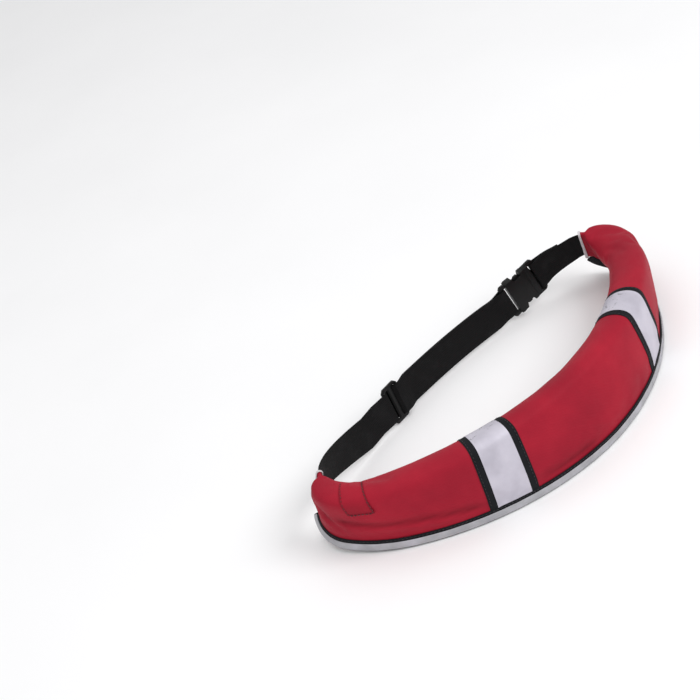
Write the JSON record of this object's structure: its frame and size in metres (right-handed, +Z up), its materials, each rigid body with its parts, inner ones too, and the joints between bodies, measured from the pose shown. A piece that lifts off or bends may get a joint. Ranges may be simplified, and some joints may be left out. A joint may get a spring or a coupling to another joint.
{
  "type": "inflatable belt pack",
  "caption": "Waist belt with a plump curved fabric pouch for a packed bladder, bound lower edge, reflective bands, webbing, slider and side-release buckle.",
  "frame": {"origin": "centre of the footprint, on the surface that the closed belt stands on", "axes": "+X along the pouch towards the wearer's left when worn, +Y from the pouch to the webbing behind, +Z up through the loop"},
  "size_m": [0.5522, 0.2852, 0.0938],
  "materials": {
    "shell_fabric": "coated woven nylon, satin",
    "bladder_film": "coated film, folded",
    "edge_binding": "woven tape, matt",
    "reflective_tape": "glass-bead reflective, soft sheen",
    "reflective_edging": "glass-bead reflective, soft sheen",
    "hem_binding": "woven tape, matt",
    "belt_webbing": "ribbed woven webbing, matt",
    "moulded_plastic": "moulded acetal, satin"
  },
  "bodies": {
    "root": {"pouch_shell": "shell_fabric", "packed_bladder": "bladder_film", "edge_tape": "edge_binding", "edge_reflective_strip": "reflective_edging", "end_tab": "shell_fabric", "band_base_left": "edge_binding", "band_tape_left": "reflective_tape", "band_base_right": "edge_binding", "band_tape_right": "reflective_tape", "mouth_binding_left": "hem_binding", "mouth_binding_right": "hem_binding", "webbing_fixed": "belt_webbing", "webbing_adjustable": "belt_webbing", "buckle_socket": "moulded_plastic", "buckle_prongs": "moulded_plastic", "slider": "moulded_plastic"}
  },
  "joints": []
}
